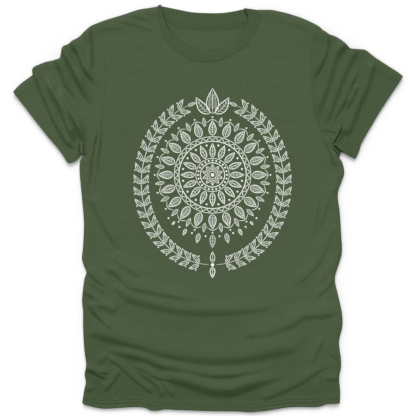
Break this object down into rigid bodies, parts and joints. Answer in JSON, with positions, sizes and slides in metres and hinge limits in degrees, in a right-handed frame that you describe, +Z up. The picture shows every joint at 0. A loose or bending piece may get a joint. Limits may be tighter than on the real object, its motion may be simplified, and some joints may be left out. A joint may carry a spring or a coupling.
{
  "type": "t-shirt",
  "caption": "Crew-neck T-shirt lying flat with its front up: soft jersey body and short set-in sleeves in shallow creases, ribbed neckband, hemmed edges and a line print on the chest.",
  "frame": {"origin": "middle of the footprint, on the surface that the back panel lies on", "axes": "+X to the wearer's left, +Y from the hem to the neck, +Z up out of the front"},
  "size_m": [0.69, 0.7213, 0.0116],
  "materials": {
    "jersey": "heather military green single jersey, matt, with fine streaks along the courses",
    "rib": "heather military green 1x1 rib, matt",
    "tape": "self-colour jersey tape, matt",
    "ink": "thin off-white printing ink with a soft hand, matt, the knit showing through"
  },
  "bodies": {
    "root": {"front_panel": "jersey", "back_panel": "jersey", "sleeve_right": "jersey", "sleeve_left": "jersey", "neckband": "rib", "neck_tape": "tape", "front_print": "ink"}
  },
  "joints": []
}
